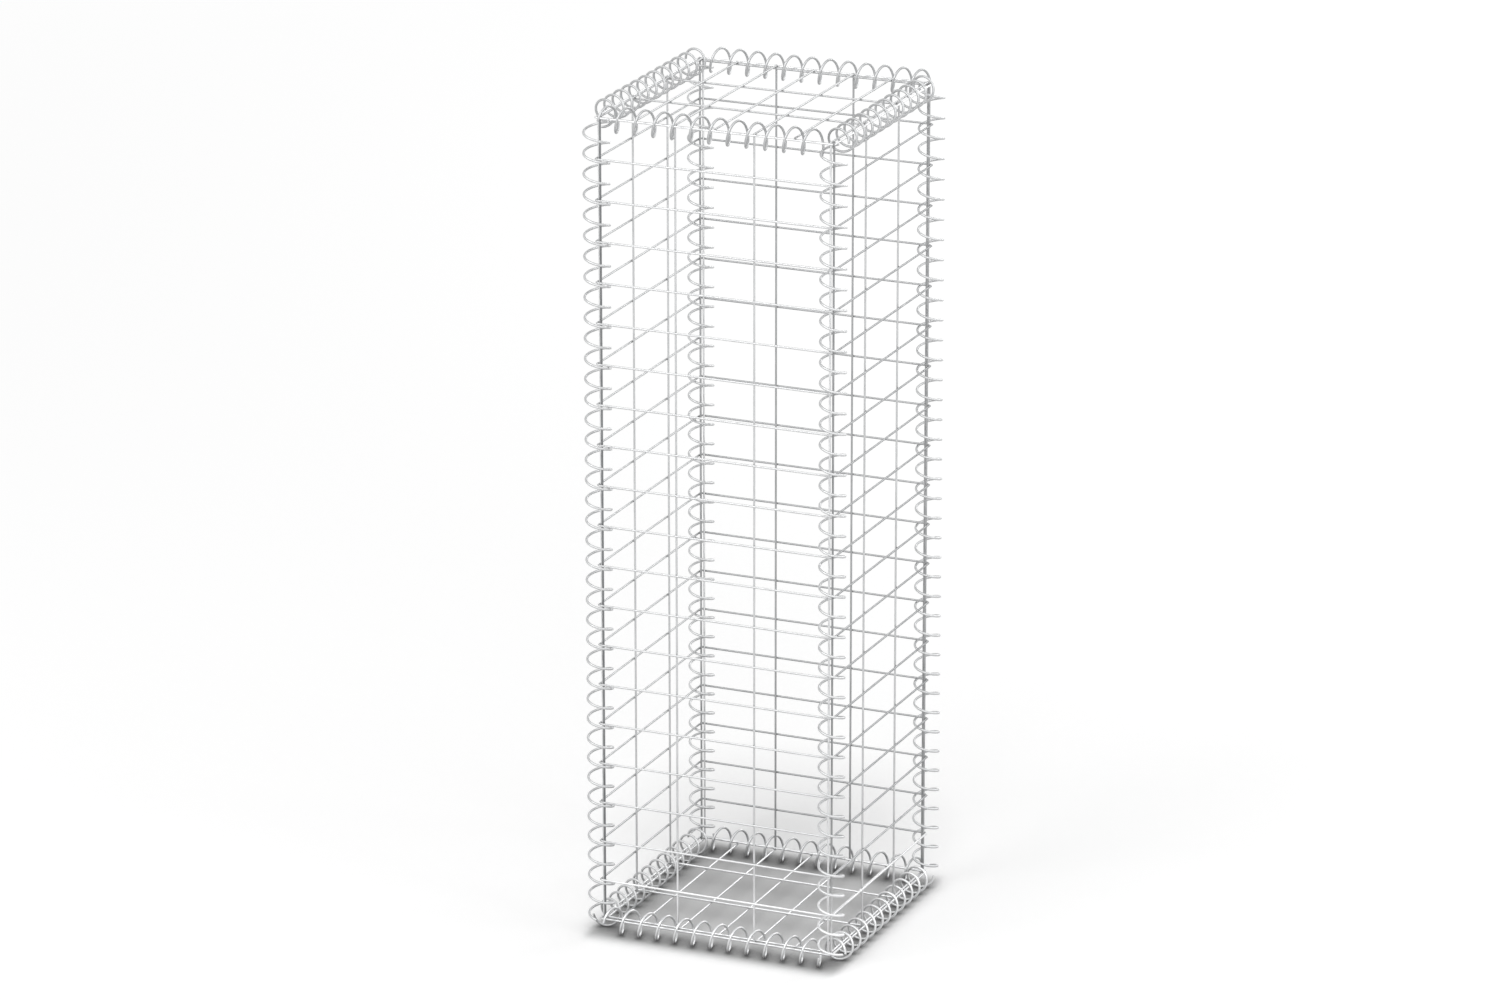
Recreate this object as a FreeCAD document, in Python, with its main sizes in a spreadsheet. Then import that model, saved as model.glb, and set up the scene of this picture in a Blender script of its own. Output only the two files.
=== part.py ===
import FreeCAD, Part

import math
import os

# A gabion column: a tall square basket of welded wire mesh for filling with stone.
# Six flat panels are laced together along the twelve edges by open wire spirals.
# The frame has +Z up and +X to the right along the front, and its origin is on the
# floor under the middle of the basket. Sizes are millimetres.
DRIVING_SIZES = {
    "basket_width": 300.0,
    "basket_depth": 300.0,
    "basket_height": 1000.0,
    "panel_wire": 2.5,
    "lacing_wire": 3.0,
    "spiral_diameter": 30.0,
    "clearance": 0.3,
    "upright_overhang": 2.5,
}

# Openings of the mesh along each side, which make it 50 high and 100 wide. The base
# and lid have one more wire between each two that run front to back.
FRONT_OPENING_COUNT = 3
SIDE_OPENING_COUNT = 3
ROW_OPENING_COUNT = 20
CLOSE_WIRES_PER_OPENING = 2
SPIRAL_TURNS_PER_OPENING = 4
SPIRAL_TURNS_PER_ROW = 2

# One turn in degrees, and a quarter of a turn in turns.
FULL_TURN = 360.0
QUARTER = 0.25

# A turn of a spiral is drawn with six flat facets. Two of them are short ones that
# face along the second cross direction, so that the base spirals rest on flats.
# They reach this many degrees either side of that direction.
FLAT_HALF_ANGLE = 24.0
FACET_CORNERS = (
    0.0,
    90.0 - FLAT_HALF_ANGLE,
    90.0 + FLAT_HALF_ANGLE,
    180.0,
    270.0 - FLAT_HALF_ANGLE,
    270.0 + FLAT_HALF_ANGLE,
)

SIDES = ("front", "right", "back", "left")
CORNERS = ("front_left", "front_right", "back_right", "back_left")

doc = FreeCAD.newDocument("gabion_basket")
sheet = doc.addObject("Spreadsheet::Sheet", "Sizes")
for row, (alias, value) in enumerate(DRIVING_SIZES.items(), start=1):
    sheet.set(f"A{row}", alias)
    sheet.set(f"B{row}", str(value))
    sheet.setAlias(f"B{row}", alias)
doc.recompute()

# Expressions that several wires share.
WIDTH = "Sizes.basket_width"
DEPTH = "Sizes.basket_depth"
HEIGHT = "Sizes.basket_height"
CORNER_RADIUS = "Sizes.panel_wire / sqrt(3)"
INSIDE_GAP = "(Sizes.panel_wire + Sizes.clearance)"
END_INSET = f"({INSIDE_GAP} + {CORNER_RADIUS})"
EDGE_HEIGHT = "(Sizes.spiral_diameter + Sizes.lacing_wire) / 2"

# Directions that a wire can run in. Each turns the flats of its six-sided section
# to face the wires that it is welded to.
UPRIGHT = FreeCAD.Rotation()
ROW_ALONG_X = FreeCAD.Rotation(FreeCAD.Vector(0, 1, 0), 90)
FLOOR_ALONG_X = FreeCAD.Rotation(FreeCAD.Vector(1, 1, 1), 120)
FLOOR_ALONG_Y = FreeCAD.Rotation(FreeCAD.Vector(1, 0, 0), -90)


def size(alias):
    return float(sheet.get(alias))


def mesh_wire(name, rotation, length, x, y, z):
    """One straight wire that starts at x, y, z, each given as an expression."""
    wire = doc.addObject("Part::Prism", name)
    wire.Polygon = 6
    wire.Placement = FreeCAD.Placement(FreeCAD.Vector(), rotation)
    wire.setExpression("Circumradius", CORNER_RADIUS)
    wire.setExpression("Height", length)
    wire.setExpression("Placement.Base.x", x)
    wire.setExpression("Placement.Base.y", y)
    wire.setExpression("Placement.Base.z", z)
    return wire


def place_across(index, openings, whole):
    """Where wire number index lies across a panel. The end wires are set in."""
    if index == 0:
        return f"{END_INSET} - {whole} / 2"
    if index == openings:
        return f"{whole} / 2 - {END_INSET}"
    return f"{index} * {whole} / {openings} - {whole} / 2"


def wire_group(name, wires, rotation, x, y, z):
    """A node that holds parallel wires, and its place in the basket."""
    group = doc.addObject("Part::Compound", name)
    group.Label = name
    group.Links = wires
    group.Placement = FreeCAD.Placement(FreeCAD.Vector(), rotation)
    group.setExpression("Placement.Base.x", x)
    group.setExpression("Placement.Base.y", y)
    group.setExpression("Placement.Base.z", z)
    return group


def wall_panel(side, quarter):
    """A wall, drawn with its outside facing -Y and then turned to its side."""
    along_front = quarter % 2 == 0
    whole = WIDTH if along_front else DEPTH
    openings = FRONT_OPENING_COUNT if along_front else SIDE_OPENING_COUNT
    rows = []
    for index in range(ROW_OPENING_COUNT + 1):
        rows.append(mesh_wire(
            f"{side}_row_{index}", ROW_ALONG_X,
            f"{whole} - 2 * Sizes.clearance",
            f"Sizes.clearance - {whole} / 2",
            "-Sizes.panel_wire / 2",
            f"{index} * {HEIGHT} / {ROW_OPENING_COUNT}",
        ))
    uprights = []
    for index in range(openings + 1):
        uprights.append(mesh_wire(
            f"{side}_upright_{index}", UPRIGHT,
            f"{HEIGHT} + 2 * Sizes.upright_overhang",
            place_across(index, openings, whole),
            "Sizes.panel_wire / 2",
            "-Sizes.upright_overhang",
        ))
    turn = FreeCAD.Rotation(FreeCAD.Vector(0, 0, 1), 90 * quarter)
    x, y = (
        ("0", f"-{DEPTH} / 2"),
        (f"{WIDTH} / 2", "0"),
        ("0", f"{DEPTH} / 2"),
        (f"-{WIDTH} / 2", "0"),
    )[quarter]
    return [
        wire_group(f"{side}_panel_rows", rows, turn, x, y, EDGE_HEIGHT),
        wire_group(f"{side}_panel_uprights", uprights, turn, x, y, EDGE_HEIGHT),
    ]


def flat_panel(name, rotation, z):
    """The base or the lid. It fits inside the walls, level with their end rows."""
    across = []
    for index in range(SIDE_OPENING_COUNT + 1):
        across.append(mesh_wire(
            f"{name}_side_wire_{index}", FLOOR_ALONG_X,
            f"{WIDTH} - 2 * {INSIDE_GAP}",
            f"{INSIDE_GAP} - {WIDTH} / 2",
            place_across(index, SIDE_OPENING_COUNT, DEPTH),
            "Sizes.panel_wire / 2",
        ))
    through = []
    close_openings = FRONT_OPENING_COUNT * CLOSE_WIRES_PER_OPENING
    for index in range(close_openings + 1):
        through.append(mesh_wire(
            f"{name}_depth_wire_{index}", FLOOR_ALONG_Y,
            f"{DEPTH} - 2 * {INSIDE_GAP}",
            place_across(index, close_openings, WIDTH),
            f"{INSIDE_GAP} - {DEPTH} / 2",
            "-Sizes.panel_wire / 2",
        ))
    return [
        wire_group(f"{name}_side_to_side_wires", across, rotation, "0", "0", z),
        wire_group(f"{name}_front_to_back_wires", through, rotation, "0", "0", z),
    ]


def spiral_sections(pitch, turns):
    """Three-cornered wire sections along a left-handed spiral about +Z.

    It starts on +X. Each section is a flat outer edge along the spiral's axis and
    an inner point, and the outer edge lies on the corners of the facets.
    """
    half_wire = size("lacing_wire") / 2
    reach = size("spiral_diameter") / 2 + half_wire
    flat_corner_reach = reach / math.cos(math.radians(FLAT_HALF_ANGLE))
    stops = []
    for turn in range(math.ceil(turns)):
        for corner in FACET_CORNERS:
            if turn + corner / FULL_TURN < turns:
                on_side = corner in (0.0, 180.0)
                outer = reach if on_side else flat_corner_reach
                stops.append((turn * FULL_TURN + corner, outer))
    stops.append((turns * FULL_TURN, reach))
    sections = []
    for angle, outer in stops:
        inner = outer * (1 - 2 * half_wire / reach)
        across = FreeCAD.Vector(
            math.cos(math.radians(angle)), -math.sin(math.radians(angle)), 0)
        middle = FreeCAD.Vector(0, 0, pitch * angle / FULL_TURN)
        step = FreeCAD.Vector(0, 0, half_wire)
        sections.append((
            middle + across * outer + step,
            middle + across * outer - step,
            middle + across * inner,
        ))
    return sections


def flat_face(*corners):
    return Part.Face(Part.makePolygon(corners + (corners[0],)))


def spiral_solid(pitch, turns):
    """The spiral as one closed solid of flat faces."""
    sections = spiral_sections(pitch, turns)
    faces = [flat_face(*sections[0]), flat_face(*reversed(sections[-1]))]
    for near, far in zip(sections, sections[1:]):
        upper, lower, inner = near
        next_upper, next_lower, next_inner = far
        faces.append(flat_face(upper, lower, next_lower, next_upper))
        faces.append(flat_face(lower, inner, next_inner))
        faces.append(flat_face(lower, next_inner, next_lower))
        faces.append(flat_face(inner, upper, next_upper))
        faces.append(flat_face(inner, next_upper, next_inner))
    solid = Part.makeSolid(Part.makeShell(faces))
    if solid.Volume < 0:
        solid.reverse()
    return solid


def side_clearance():
    """From the middle of a spiral's wire to the middle of a mesh wire beside it."""
    corner_radius = size("panel_wire") / math.sqrt(3)
    return corner_radius + size("lacing_wire") / 2 + size("clearance")


def lean():
    """The share of a turn by which a spiral meets a mesh wire early or late.

    The wire lies half its diameter off the plane through the spiral's axis.
    """
    return math.asin(size("panel_wire") / size("spiral_diameter")) / (2 * math.pi)


def edge_pitch(edge_length, openings):
    """The pitch of a base or lid spiral.

    Its turns are centred on the edge, and one of them lies beside the outermost
    of the uprights between the corners.
    """
    openings_off_middle = openings / 2 - 1
    upright_off_middle = openings_off_middle * edge_length / openings
    turns_off_middle = SPIRAL_TURNS_PER_OPENING * openings_off_middle + QUARTER + lean()
    return (upright_off_middle + side_clearance()) / turns_off_middle


def add_spiral(name, solid, start, along, outward):
    """A spiral about the line from start, with its first turn on the outward side."""
    spiral = doc.addObject("Part::Feature", name)
    spiral.Label = name
    spiral.Shape = solid
    sideways = along.cross(outward)
    spiral.Placement = FreeCAD.Placement(
        start, FreeCAD.Rotation(outward, sideways, along, "ZXY"))
    return spiral


def lacing_spirals():
    """A spiral on each of the four upright edges, the base edges and the lid edges."""
    half_width = size("basket_width") / 2
    half_depth = size("basket_depth") / 2
    corner_places = (
        FreeCAD.Vector(-half_width, -half_depth, 0),
        FreeCAD.Vector(half_width, -half_depth, 0),
        FreeCAD.Vector(half_width, half_depth, 0),
        FreeCAD.Vector(-half_width, half_depth, 0),
    )
    up = FreeCAD.Vector(0, 0, 1)
    edge_height = (size("spiral_diameter") + size("lacing_wire")) / 2
    lid_height = edge_height + size("basket_height")

    # A corner spiral passes just under every row of one wall. It starts on its
    # outer side and ends where it hooks under the top row.
    all_turns = SPIRAL_TURNS_PER_ROW * ROW_OPENING_COUNT
    corner_pitch = size("basket_height") / all_turns
    corner_turns = all_turns - QUARTER
    corner_start = (QUARTER - lean()) * corner_pitch - side_clearance()
    corner_solid = spiral_solid(corner_pitch, corner_turns)

    spirals = []
    for quarter in range(4):
        turn = FreeCAD.Rotation(up, 90 * quarter)
        along = turn.multVec(FreeCAD.Vector(1, 0, 0))
        outward = turn.multVec(FreeCAD.Vector(0, -1, 0))
        corner = corner_places[quarter]
        spirals.append(add_spiral(
            f"{CORNERS[quarter]}_corner_spiral", corner_solid,
            corner + up * (edge_height + corner_start), up, outward))

        # A base spiral runs from its first to its last outer side. A lid spiral
        # stops a quarter turn short, clear of the corner spiral that rises there.
        along_front = quarter % 2 == 0
        openings = FRONT_OPENING_COUNT if along_front else SIDE_OPENING_COUNT
        edge_length = size("basket_width" if along_front else "basket_depth")
        pitch = edge_pitch(edge_length, openings)
        turns = SPIRAL_TURNS_PER_OPENING * openings
        first = (edge_length - turns * pitch) / 2
        start = corner + along * first
        spirals.append(add_spiral(
            f"base_{SIDES[quarter]}_spiral", spiral_solid(pitch, turns),
            start + up * edge_height, along, outward))
        spirals.append(add_spiral(
            f"lid_{SIDES[quarter]}_spiral", spiral_solid(pitch, turns - QUARTER),
            start + up * lid_height, along, outward))
    return spirals


nodes = []
for quarter, side in enumerate(SIDES):
    nodes += wall_panel(side, quarter)
nodes += flat_panel("base_panel", FreeCAD.Rotation(), EDGE_HEIGHT)
nodes += flat_panel(
    "lid_panel", FreeCAD.Rotation(FreeCAD.Vector(1, 0, 0), 180), f"{EDGE_HEIGHT} + {HEIGHT}")
nodes += lacing_spirals()
doc.recompute()

for item in doc.Objects:
    if "Invalid" in item.State or "Error" in item.State:
        raise RuntimeError(f"{item.Label} did not build: {item.State}")
for node in nodes:
    if node.Shape.isNull() or not node.Shape.isValid():
        raise RuntimeError(f"{node.Label} has no valid shape")

os.makedirs("parts", exist_ok=True)
for node in nodes:
    node.Shape.exportStep(f"parts/{node.Label}.step")
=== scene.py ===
import math
import random

import bpy
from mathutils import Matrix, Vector


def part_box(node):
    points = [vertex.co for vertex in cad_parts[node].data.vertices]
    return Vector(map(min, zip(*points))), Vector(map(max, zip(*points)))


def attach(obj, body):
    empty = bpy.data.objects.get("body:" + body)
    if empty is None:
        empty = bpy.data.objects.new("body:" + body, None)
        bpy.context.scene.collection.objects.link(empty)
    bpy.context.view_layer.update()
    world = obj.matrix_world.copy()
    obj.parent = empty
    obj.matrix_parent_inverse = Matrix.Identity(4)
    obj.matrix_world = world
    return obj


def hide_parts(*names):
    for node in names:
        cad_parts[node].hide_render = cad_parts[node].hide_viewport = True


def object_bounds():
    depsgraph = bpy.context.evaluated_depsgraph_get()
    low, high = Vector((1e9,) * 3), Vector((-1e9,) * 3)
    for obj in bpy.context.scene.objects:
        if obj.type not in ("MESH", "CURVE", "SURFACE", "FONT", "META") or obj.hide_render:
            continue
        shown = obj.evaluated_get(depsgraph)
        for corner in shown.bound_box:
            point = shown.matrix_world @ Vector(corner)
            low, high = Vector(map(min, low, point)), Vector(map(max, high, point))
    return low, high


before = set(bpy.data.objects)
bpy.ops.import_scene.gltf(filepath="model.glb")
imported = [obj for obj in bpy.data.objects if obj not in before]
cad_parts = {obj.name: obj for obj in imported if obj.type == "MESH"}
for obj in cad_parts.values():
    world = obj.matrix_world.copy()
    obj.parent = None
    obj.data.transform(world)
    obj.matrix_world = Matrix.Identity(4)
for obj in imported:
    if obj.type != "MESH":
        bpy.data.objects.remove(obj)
cad_low, cad_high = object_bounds()
random.seed(7)

# The basket stands in its own frame, in metres. Wires take their places from the
# solids, and these sizes are those of the real wire.
PANEL_WIRE = 0.0025
LACING_WIRE = 0.003
SPIRAL_DIAMETER = 0.030
CORNER_TURNS = 39.75
BASE_TURNS = 12
LID_TURNS = 11.75

# The ends of a cut wire are slightly rounded over: how far in from the end, and the
# share of the full radius there.
END_SHAPE = ((0.0, 0.78), (0.00012, 0.94), (0.0004, 1.0))

# How finely wires are drawn.
PANEL_WIRE_SIDES = 14
PANEL_WIRE_STEP = 0.025
LACING_WIRE_SIDES = 12
POINTS_A_TURN = 48

# Each wire starts somewhere else in the streaks of the zinc, in metres.
STREAK_STARTS = (0, 10)

# A weld bead and how much beads differ, as shares of these sizes.
BEAD_RADIUS = 0.00135
BEAD_HALF_DEPTH = 0.00062
BEAD_RADIUS_RANGE = (0.9, 1.08)
BEAD_DEPTH_RANGE = (0.9, 1.15)
BEAD_LOBES = 3
BEAD_LOBE_SHARE = 0.07
BEAD_RINGS = 6
BEAD_SIDES = 12

# Where each gray of a zinc coat stands on the range of its mixed noise. Only a wire's foot,
# painted paler as painted light, reaches the last.
TONE_STOPS = (0.36, 0.5, 0.66, 0.9)

# Zinc is very slightly blue: what green and blue have more than red.
MORE_GREEN = 0.005
MORE_BLUE = 0.01

# Painted light: between these heights a wire goes from a foot painted paler, by this much, to
# its own gray.
PAINTED_LIGHT_HEIGHTS = (0.07, 0.14)
PAINTED_FOOT_LIGHT = 0.36

# The least and the greatest roughness of a wire.
SATIN = (0.42, 0.52)
SMOOTH = (0.36, 0.46)

# Square lamps that face the middle of the basket, each with its azimuth and elevation
# in degrees and its watts. Azimuth 0 is in front and 90 is to the right.
LAMP_DISTANCE = 5.0
LAMP_WIDTH = 2.5
LAMPS = (
    ("key", -30, 46, 90),
    ("front", 25, 30, 55),
    ("back", 160, 26, 60),
    ("right", 85, 40, 50),
)
SOFT_LEVEL = 0.35

# The photo's viewpoint, and how far the camera turns left and looks down from there.
VIEWPOINT = Vector((3.0902, -7.1722, 3.0883))
YAW = math.radians(23.443)
FALL = math.radians(18.187)
LENS = 164.9
SENSOR_WIDTH = 36
VIEW_DEPTH = 100

# The walls in their order round the basket. Each has the corner where it starts, the
# direction along it from there, and the direction out of the basket.
SIDES = ("front", "right", "back", "left")
CORNERS = ("front_left", "front_right", "back_right", "back_left")
ALONG = (Vector((1, 0, 0)), Vector((0, 1, 0)), Vector((-1, 0, 0)), Vector((0, -1, 0)))
OUTWARD = (Vector((0, -1, 0)), Vector((1, 0, 0)), Vector((0, 1, 0)), Vector((-1, 0, 0)))
UP = Vector((0, 0, 1))


def link(name, data):
    """An object with this data, in the scene."""
    holder = bpy.data.objects.new(name, data)
    bpy.context.scene.collection.objects.link(holder)
    return holder


def make_object(name, vertices, faces, uvs, materials, material_of_face=None):
    """A smooth mesh with one UV per vertex: metres along the wire, turns round it."""
    mesh = bpy.data.meshes.new(name)
    mesh.from_pydata(vertices, [], faces)
    layer = mesh.uv_layers.new(name="wire")
    for loop in mesh.loops:
        layer.data[loop.index].uv = uvs[loop.vertex_index]
    mesh.polygons.foreach_set("use_smooth", [True] * len(mesh.polygons))
    for material in materials:
        mesh.materials.append(material)
    if material_of_face:
        mesh.polygons.foreach_set("material_index", material_of_face)
    mesh.validate()
    return link(name, mesh)


class Tubes:
    """Round wires gathered into one mesh."""

    def __init__(self, around):
        self.around = around
        self.vertices = []
        self.faces = []
        self.uvs = []
        self.material_of_face = []

    def add(self, path, normals, radii, material_index=0):
        """One wire along path. Each normal is square to the path at its point."""
        first = len(self.vertices)
        along = random.uniform(*STREAK_STARTS)
        for index, (point, normal, radius) in enumerate(zip(path, normals, radii)):
            ahead = path[min(index + 1, len(path) - 1)]
            behind = path[max(index - 1, 0)]
            tangent = (ahead - behind).normalized()
            if index:
                along += (point - path[index - 1]).length
            across = tangent.cross(normal).normalized()
            for step in range(self.around):
                turn = step / self.around
                angle = 2 * math.pi * turn
                offset = normal * math.cos(angle) + across * math.sin(angle)
                self.vertices.append(point + offset * radius)
                self.uvs.append((along, turn))
        for ring in range(len(path) - 1):
            low = first + ring * self.around
            for step in range(self.around):
                after = (step + 1) % self.around
                self.faces.append((
                    low + step, low + after,
                    low + self.around + after, low + self.around + step))
        last = first + (len(path) - 1) * self.around
        self.faces.append(tuple(range(first + self.around - 1, first - 1, -1)))
        self.faces.append(tuple(range(last, last + self.around)))
        new_faces = len(self.faces) - len(self.material_of_face)
        self.material_of_face += [material_index] * new_faces

    def make(self, name, *materials):
        return make_object(
            name, self.vertices, self.faces, self.uvs, materials, self.material_of_face)


def joined_corners(mesh):
    """The corners of a mesh in groups, one group for each solid in it."""
    joined = {vertex.index: vertex.index for vertex in mesh.vertices}

    def root(index):
        while joined[index] != index:
            joined[index] = joined[joined[index]]
            index = joined[index]
        return index

    places = {}
    for vertex in mesh.vertices:
        key = tuple(round(value, 6) for value in vertex.co)
        joined[root(vertex.index)] = root(places.setdefault(key, vertex.index))
    for edge in mesh.edges:
        joined[root(edge.vertices[0])] = root(edge.vertices[1])
    groups = {}
    for vertex in mesh.vertices:
        groups.setdefault(root(vertex.index), []).append(vertex.co)
    return groups.values()


def solid_wires(node):
    """The two end points of each straight wire in a node, from its solid's corners."""
    wires = []
    for corners in joined_corners(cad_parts[node].data):
        low = Vector([min(corner[axis] for corner in corners) for axis in range(3)])
        high = Vector([max(corner[axis] for corner in corners) for axis in range(3)])
        middle = (low + high) / 2
        size = high - low
        axis = max(range(3), key=lambda each: size[each])
        start, end = middle.copy(), middle.copy()
        start[axis], end[axis] = low[axis], high[axis]
        wires.append((start, end))
    return sorted(wires, key=lambda wire: tuple(wire[0]))


def stations_between_ends(length, count, end_scale=1.0):
    """Places along a wire with two cut ends, and the share of the full radius at each."""
    stations = [(inset / end_scale, share) for inset, share in END_SHAPE]
    stations += [(length * index / count, 1.0) for index in range(1, count)]
    stations += [(length - inset / end_scale, share) for inset, share in reversed(END_SHAPE)]
    return stations


def panel_wires(node, material, first_edge, last_edge):
    """Round wires in place of a node's straight bars, with a material for each edge wire."""
    tubes = Tubes(PANEL_WIRE_SIDES)
    wires = solid_wires(node)
    direction = (wires[0][1] - wires[0][0]).normalized()
    step = wires[-1][0] - wires[0][0]
    spacing_axis = max(range(3), key=lambda axis: abs(step[axis]) * (1 - abs(direction[axis])))
    # In order across the panel, the edge wires come first and last.
    wires.sort(key=lambda wire: wire[0][spacing_axis])
    is_level = abs(direction.z) < 0.5
    side = UP if is_level else ALONG[0]
    for index, (start, end) in enumerate(wires):
        length = (end - start).length
        count = max(1, round(length / PANEL_WIRE_STEP))
        stations = stations_between_ends(length, count)
        path = [start + (end - start) / length * along for along, _ in stations]
        radii = [share * PANEL_WIRE / 2 for _, share in stations]
        material_index = {0: 1, len(wires) - 1: 2}.get(index, 0)
        tubes.add(path, [side] * len(path), radii, material_index)
    piece = tubes.make(f"{node}_wire", material, first_edge, last_edge)
    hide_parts(node)
    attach(piece, "root")


def spiral_wire(node, turns, along, outward, material):
    """A round wire wound left-handed in place of a node's faceted spiral."""
    low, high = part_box(node)
    length = abs((high - low).dot(along)) - LACING_WIRE
    start = (low + high) / 2 - along * length / 2
    pitch = length / turns
    sideways = along.cross(outward)
    turn_length = math.hypot(math.pi * SPIRAL_DIAMETER, pitch)
    path, normals, radii = [], [], []
    for turn, share in stations_between_ends(turns, round(turns * POINTS_A_TURN), turn_length):
        angle = 2 * math.pi * turn
        normal = outward * math.cos(angle) - sideways * math.sin(angle)
        path.append(start + along * pitch * turn + normal * SPIRAL_DIAMETER / 2)
        normals.append(normal)
        radii.append(share * LACING_WIRE / 2)
    tubes = Tubes(LACING_WIRE_SIDES)
    tubes.add(path, normals, radii)
    piece = tubes.make(f"{node}_wire", material)
    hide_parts(node)
    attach(piece, "root")


def crossings(wires, others):
    """Where the wires of two crossing layers touch, with the direction between them."""
    found = []
    for start, end in wires:
        along = (end - start).normalized()
        for other_start, other_end in others:
            other_along = (other_end - other_start).normalized()
            between = along.cross(other_along)
            on_wire = start + along * (other_start - start).dot(along)
            on_other = other_start + other_along * (start - other_start).dot(other_along)
            found.append(((on_wire + on_other) / 2, along, other_along, between))
    return found


def add_bead(crossing, vertices, faces, uvs):
    """One small flattened bead of squeezed-out metal. No two are quite the same."""
    place, along, across, between = crossing
    radius = BEAD_RADIUS * random.uniform(*BEAD_RADIUS_RANGE)
    depth = BEAD_HALF_DEPTH * random.uniform(*BEAD_DEPTH_RANGE)
    twist = random.uniform(0, math.pi)
    top = len(vertices)
    vertices.append(place + between * depth)
    uvs.append((0, 0))
    for ring in range(1, BEAD_RINGS):
        height = math.cos(math.pi * ring / BEAD_RINGS)
        width = math.sin(math.pi * ring / BEAD_RINGS)
        for step in range(BEAD_SIDES):
            angle = 2 * math.pi * step / BEAD_SIDES
            swell = 1 + BEAD_LOBE_SHARE * math.cos(BEAD_LOBES * angle + twist)
            flat = along * math.cos(angle) + across * math.sin(angle)
            vertices.append(place + flat * radius * width * swell + between * depth * height)
            uvs.append((2 * BEAD_RADIUS * ring / BEAD_RINGS, step / BEAD_SIDES))
    bottom = len(vertices)
    vertices.append(place - between * depth)
    uvs.append((2 * BEAD_RADIUS, 0))
    for step in range(BEAD_SIDES):
        after = (step + 1) % BEAD_SIDES
        faces.append((top, top + 1 + step, top + 1 + after))
        for ring in range(BEAD_RINGS - 2):
            low = top + 1 + ring * BEAD_SIDES
            faces.append((
                low + step, low + BEAD_SIDES + step, low + BEAD_SIDES + after, low + after))
        faces.append((bottom, bottom - BEAD_SIDES + after, bottom - BEAD_SIDES + step))


def weld_beads(name, node, other_node, material):
    """A bead at each crossing of the two layers of wires in a panel."""
    vertices, faces, uvs = [], [], []
    for crossing in crossings(solid_wires(node), solid_wires(other_node)):
        add_bead(crossing, vertices, faces, uvs)
    piece = make_object(name, vertices, faces, uvs, (material,))
    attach(piece, "root")


class Nodes:
    """Adds nodes to a material or the world and joins them in one call."""

    def __init__(self, tree):
        self.tree = tree
        tree.nodes.clear()

    def add(self, kind, sockets, **settings):
        """A node with its settings. Each socket gets a value or another node's output."""
        node = self.tree.nodes.new(kind)
        for name, value in settings.items():
            setattr(node, name, value)
        for socket, value in sockets.items():
            if isinstance(value, bpy.types.NodeSocket):
                self.tree.links.new(value, node.inputs[socket])
            else:
                node.inputs[socket].default_value = value
        return node

    def maths(self, operation, first, second=0.0):
        return self.add("ShaderNodeMath", {0: first, 1: second}, operation=operation).outputs[0]

    def place(self):
        """The point in the object's own frame, in metres."""
        return self.add("ShaderNodeTexCoord", {}).outputs["Object"]

    def split(self, vector):
        return self.add("ShaderNodeSeparateXYZ", {"Vector": vector}).outputs

    def noise(self, vector, scale, detail=2.0, roughness=0.5):
        return self.add("ShaderNodeTexNoise", {
            "Vector": vector, "Scale": scale, "Detail": detail, "Roughness": roughness,
        }).outputs["Fac"]

    def ramp(self, value, stops):
        node = self.add("ShaderNodeValToRGB", {"Fac": value})
        for _ in range(len(stops) - 2):
            node.color_ramp.elements.new(0.5)
        for element, (place, color) in zip(node.color_ramp.elements, stops):
            element.position = place
            element.color = (*color, 1)
        return node.outputs["Color"]

    def spread(self, value, old_range, new_range, shape="LINEAR"):
        """The value moved from one range to another, and held at its ends."""
        return self.add("ShaderNodeMapRange", {
            "Value": value, "From Min": old_range[0], "From Max": old_range[1],
            "To Min": new_range[0], "To Max": new_range[1],
        }, interpolation_type=shape).outputs["Result"]

    def metal(self, color, roughness, metallic, height, strength, distance):
        """A metal surface whose height shows as a fine bump."""
        bump = self.add("ShaderNodeBump", {
            "Height": height, "Strength": strength, "Distance": distance}).outputs["Normal"]
        shader = self.add("ShaderNodeBsdfPrincipled", {
            "Base Color": color, "Metallic": metallic, "Roughness": roughness, "Normal": bump,
        }).outputs["BSDF"]
        self.add("ShaderNodeOutputMaterial", {"Surface": shader})


def new_material(name):
    """A material, and the means to fill its node tree."""
    material = bpy.data.materials.new(name)
    material.use_nodes = True
    return material, Nodes(material.node_tree)


def around_the_wire(nodes, radius):
    """A vector that follows the wire: its length first, then a circle of this radius."""
    uv = nodes.add("ShaderNodeUVMap", {}, uv_map="wire").outputs["UV"]
    parts = nodes.split(uv)
    angle = nodes.maths("MULTIPLY", parts["Y"], 2 * math.pi)
    return nodes.add("ShaderNodeCombineXYZ", {
        "X": parts["X"],
        "Y": nodes.maths("MULTIPLY", nodes.maths("COSINE", angle), radius),
        "Z": nodes.maths("MULTIPLY", nodes.maths("SINE", angle), radius),
    }).outputs["Vector"]


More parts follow.
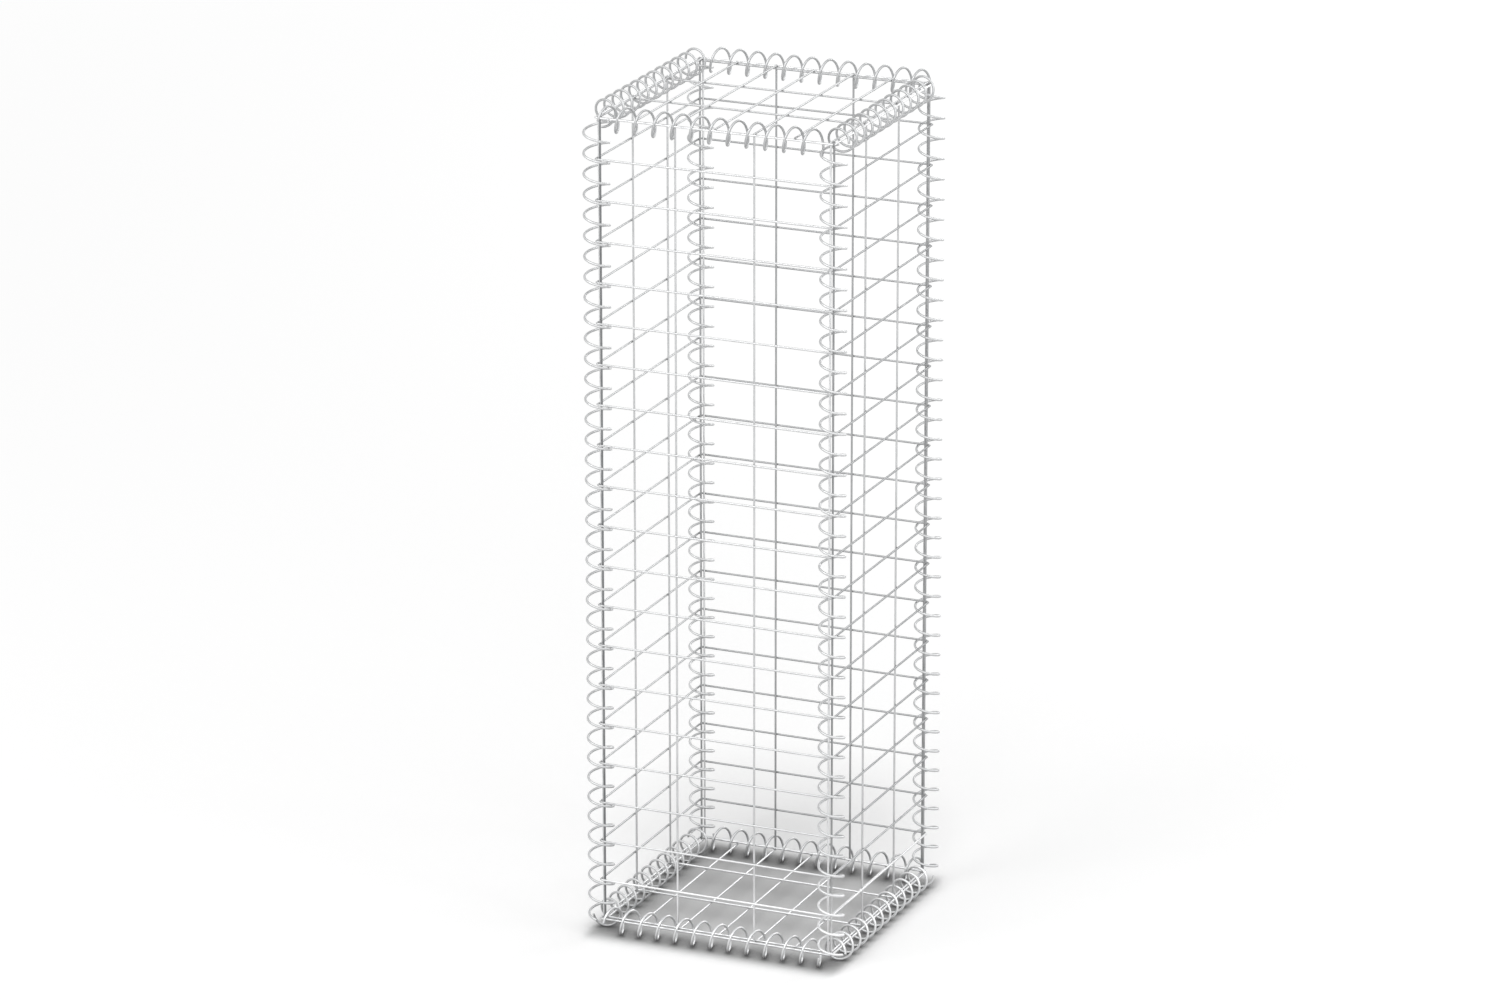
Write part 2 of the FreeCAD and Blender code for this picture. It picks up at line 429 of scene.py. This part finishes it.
def zinc_wire(name, grays, roughness_range, painted_foot_light=0.0):
    """Drawn steel wire with a zinc coat: long drawing streaks and faint zinc clouds.

    The grays run from the darkest to the palest. The foot light paints the wire paler
    close to the floor: painted light.
    """
    streak_scale, streak_circle = 60, 0.02
    scratch_scale, scratch_circle = 200, 0.05
    cloud_scale = 25
    tone_range = (0.35, 0.65)
    material, nodes = new_material(name)
    place = nodes.place()
    streaks = nodes.noise(around_the_wire(nodes, streak_circle), streak_scale)
    clouds = nodes.noise(place, cloud_scale)
    tone = nodes.maths("MULTIPLY", nodes.maths("ADD", streaks, clouds), 0.5)
    roughness = nodes.spread(tone, tone_range, roughness_range)
    # Painted light: the tone rises towards the foot, so the wire is painted paler there.
    if painted_foot_light:
        height = nodes.split(place)["Z"]
        tone = nodes.maths("ADD", tone, nodes.spread(height, PAINTED_LIGHT_HEIGHTS, (painted_foot_light, 0.0)))
    color = nodes.ramp(tone, [
        (stop, (gray, gray + MORE_GREEN, gray + MORE_BLUE))
        for stop, gray in zip(TONE_STOPS, grays)])
    scratches = nodes.noise(around_the_wire(nodes, scratch_circle), scratch_scale)
    nodes.metal(
        color, roughness, metallic=0.9, height=scratches, strength=0.08, distance=0.0001)
    return material


def weld_metal():
    """Zinc burnt off and run together at a spot weld."""
    burn_stops = (
        (0.35, (0.17, 0.168, 0.165)), (0.52, (0.27, 0.27, 0.27)), (0.7, (0.38, 0.38, 0.38)))
    burn_range, roughness_range = (0.3, 0.7), (0.6, 0.38)
    material, nodes = new_material("weld_metal")
    burn = nodes.noise(nodes.place(), scale=700, detail=3.0, roughness=0.6)
    color = nodes.ramp(burn, burn_stops)
    roughness = nodes.spread(burn, burn_range, roughness_range)
    nodes.metal(color, roughness, metallic=0.85, height=burn, strength=0.4, distance=0.0002)
    return material


def shown_white(nodes):
    """1 on rays that see the background directly, in metal or through glass."""
    path = nodes.add("ShaderNodeLightPath", {}).outputs
    seen = nodes.maths("MAXIMUM", path["Is Camera Ray"], path["Is Glossy Ray"])
    return nodes.maths("MAXIMUM", seen, path["Is Transmission Ray"])


def footprint_distance(nodes, half_width, side_scale):
    """How far a point of the floor lies outside the basket's footprint, more so sideways."""
    parts = nodes.split(nodes.place())
    squares = []
    for axis, scale in (("X", side_scale), ("Y", 1.0)):
        beyond = nodes.maths("SUBTRACT", nodes.maths("ABSOLUTE", parts[axis]), half_width)
        outside = nodes.maths("MULTIPLY", nodes.maths("MAXIMUM", beyond, 0.0), scale)
        squares.append(nodes.maths("MULTIPLY", outside, outside))
    return nodes.maths("SQRT", nodes.maths("ADD", *squares))


def oval_distance(nodes, middle, half_sizes, turn=0.0):
    """How far a point of the floor lies from the middle of an oval. It is 1 on the oval."""
    turned = nodes.add("ShaderNodeMapping", {
        "Vector": nodes.place(), "Location": (*middle, 0), "Rotation": (0, 0, turn),
        "Scale": (*half_sizes, 1),
    }, vector_type="TEXTURE").outputs["Vector"]
    return nodes.add("ShaderNodeVectorMath", {0: turned}, operation="LENGTH").outputs["Value"]


def floor_shade(nodes):
    """The soft shade under the basket, in an oval behind it and close to its wires."""
    half_width, side_scale, reach = 0.155, 2.2, 0.038
    oval_middle, oval_size, oval_turn = (-0.08, 0.23), (0.24, 0.36), math.radians(23)
    contact_distance, contact_samples = 0.035, 12
    oval_core = 0.15
    openness_range = (0.62, 0.95)
    under_gray, behind_gray, contact_gray = 0.6, 0.8, 0.25
    outside = footprint_distance(nodes, half_width, side_scale)
    under = nodes.spread(outside, (0.0, reach), (under_gray, 1.0), "SMOOTHSTEP")
    oval = oval_distance(nodes, oval_middle, oval_size, oval_turn)
    behind = nodes.spread(oval, (oval_core, 1.0), (behind_gray, 1.0))
    openness = nodes.add(
        "ShaderNodeAmbientOcclusion", {"Distance": contact_distance},
        samples=contact_samples).outputs["AO"]
    contact = nodes.spread(openness, openness_range, (contact_gray, 1.0))
    return nodes.maths("MULTIPLY", nodes.maths("MULTIPLY", under, behind), contact)


def make_floor():
    """A pale studio floor. Its glow grows with distance, where the lamps reach less."""
    half_size = 20
    floor_gray = 0.8
    far_distance = 8
    near_glow, far_glow = 0.28, 0.76
    mesh = bpy.data.meshes.new("floor")
    corners = [(-half_size, -half_size, 0), (half_size, -half_size, 0),
               (half_size, half_size, 0), (-half_size, half_size, 0)]
    mesh.from_pydata(corners, [], [(0, 1, 2, 3)])
    floor = link("floor", mesh)
    material, nodes = new_material("floor")
    shade = floor_shade(nodes)
    gray = nodes.maths("MULTIPLY", shade, floor_gray)
    color = nodes.add("ShaderNodeCombineColor", {
        "Red": gray, "Green": gray, "Blue": gray}).outputs["Color"]
    diffuse = nodes.add("ShaderNodeBsdfDiffuse", {"Color": color}).outputs["BSDF"]
    away = oval_distance(nodes, (0, 0), (far_distance, far_distance))
    backdrop = nodes.spread(away, (0.0, 1.0), (near_glow, far_glow))
    glow = nodes.maths("MULTIPLY", nodes.maths("MULTIPLY", shown_white(nodes), backdrop), shade)
    emission = nodes.add("ShaderNodeEmission", {"Strength": glow}).outputs["Emission"]
    both = nodes.add("ShaderNodeAddShader", {0: diffuse, 1: emission}).outputs["Shader"]
    nodes.add("ShaderNodeOutputMaterial", {"Surface": both})
    mesh.materials.append(material)


def light_world():
    """White where it is seen, and a plain soft level where it lights the object."""
    world = bpy.data.worlds.new("studio")
    world.use_nodes = True
    bpy.context.scene.world = world
    nodes = Nodes(world.node_tree)
    strength = nodes.spread(shown_white(nodes), (0.0, 1.0), (SOFT_LEVEL, 1.0))
    background = nodes.add("ShaderNodeBackground", {
        "Color": (1, 1, 1, 1), "Strength": strength}).outputs["Background"]
    nodes.add("ShaderNodeOutputWorld", {"Surface": background})


def softbox(name, azimuth, elevation, watts):
    """A square lamp that faces the middle of the basket."""
    lamp = bpy.data.lights.new(name, "AREA")
    lamp.size = LAMP_WIDTH
    lamp.energy = watts
    turn, rise = math.radians(azimuth), math.radians(elevation)
    back = Vector((
        math.sin(turn) * math.cos(rise), -math.cos(turn) * math.cos(rise), math.sin(rise)))
    holder = link(name, lamp)
    holder.location = (cad_low + cad_high) / 2 + back * LAMP_DISTANCE
    holder.rotation_euler = back.to_track_quat("Z", "Y").to_euler()


def add_camera():
    """The camera at the photo's viewpoint."""
    camera = bpy.data.cameras.new("camera")
    camera.lens = LENS
    camera.sensor_width = SENSOR_WIDTH
    camera.clip_end = VIEW_DEPTH
    ahead = Vector((-math.sin(YAW), math.cos(YAW), -math.tan(FALL)))
    holder = link("camera", camera)
    holder.location = VIEWPOINT
    holder.rotation_euler = ahead.to_track_quat("-Z", "Y").to_euler()
    bpy.context.scene.camera = holder


add_camera()
light_world()
for lamp_name, azimuth, elevation, watts in LAMPS:
    softbox(lamp_name, azimuth, elevation, watts)
make_floor()

# Copies of one zinc in different grays. The gray zinc is its own gray. The paler copies are
# painted light, the darker ones painted shade; the front and right copies also have a foot
# painted paler.
painted_deep_shade_zinc = zinc_wire("painted_deep_shade_zinc", (0.18, 0.23, 0.28), SATIN)
painted_dark_shade_zinc = zinc_wire("painted_dark_shade_zinc", (0.35, 0.4, 0.45), SATIN)
painted_soft_shade_zinc = zinc_wire("painted_soft_shade_zinc", (0.43, 0.48, 0.53), SATIN)
gray_zinc = zinc_wire("gray_zinc", (0.52, 0.57, 0.62), SATIN)
painted_light_zinc = zinc_wire("painted_light_zinc", (0.64, 0.72, 0.8), SMOOTH)
front_painted_lit_zinc = zinc_wire("front_painted_lit_zinc", (0.54, 0.59, 0.64, 0.8), SATIN, PAINTED_FOOT_LIGHT)
right_painted_shade_zinc = zinc_wire("right_painted_shade_zinc", (0.28, 0.33, 0.38, 0.74), SATIN, PAINTED_FOOT_LIGHT)
welds = weld_metal()

# For each wall: its rows between the top and bottom ones, each in a zinc painted lighter
# (painted light) or darker (painted shade).
row_zincs = {
    "front": front_painted_lit_zinc,
    "right": right_painted_shade_zinc,
    "back": painted_dark_shade_zinc,
    "left": painted_soft_shade_zinc,
}
# For each wall: its middle uprights, then its two edge uprights by rising x or y.
# Their zincs are painted lighter as painted light and darker as painted shade.
upright_zincs = {
    "front": (front_painted_lit_zinc, painted_deep_shade_zinc, painted_light_zinc),
    "right": (gray_zinc, right_painted_shade_zinc, painted_dark_shade_zinc),
    "back": (painted_dark_shade_zinc, painted_light_zinc, painted_dark_shade_zinc),
    "left": (gray_zinc, painted_light_zinc, painted_dark_shade_zinc),
}
# The front and right spirals that are painted paler than the gray of the rest: painted light.
corner_zincs = {"front_right": front_painted_lit_zinc}
base_spiral_zincs = {"front": painted_light_zinc, "right": painted_light_zinc}

for side in SIDES:
    rows, uprights = f"{side}_panel_rows", f"{side}_panel_uprights"
    # The top and bottom rows are in the zinc painted paler: painted light.
    panel_wires(rows, row_zincs[side], painted_light_zinc, painted_light_zinc)
    panel_wires(uprights, *upright_zincs[side])
    weld_beads(f"{side}_panel_welds", rows, uprights, welds)
# The base panel's wires are painted paler, as painted light, and the lid's darker, as painted
# shade.
for panel, zinc in (("base_panel", painted_light_zinc), ("lid_panel", painted_soft_shade_zinc)):
    across, through = f"{panel}_side_to_side_wires", f"{panel}_front_to_back_wires"
    panel_wires(across, zinc, zinc, zinc)
    panel_wires(through, zinc, zinc, zinc)
    weld_beads(f"{panel}_welds", across, through, welds)
for side, corner, along, outward in zip(SIDES, CORNERS, ALONG, OUTWARD):
    spiral_wire(
        f"{corner}_corner_spiral", CORNER_TURNS, UP, outward,
        corner_zincs.get(corner, gray_zinc))
    spiral_wire(
        f"base_{side}_spiral", BASE_TURNS, along, outward,
        base_spiral_zincs.get(side, gray_zinc))
    spiral_wire(f"lid_{side}_spiral", LID_TURNS, along, outward, painted_soft_shade_zinc)

bpy.context.scene.view_settings.view_transform = "Standard"
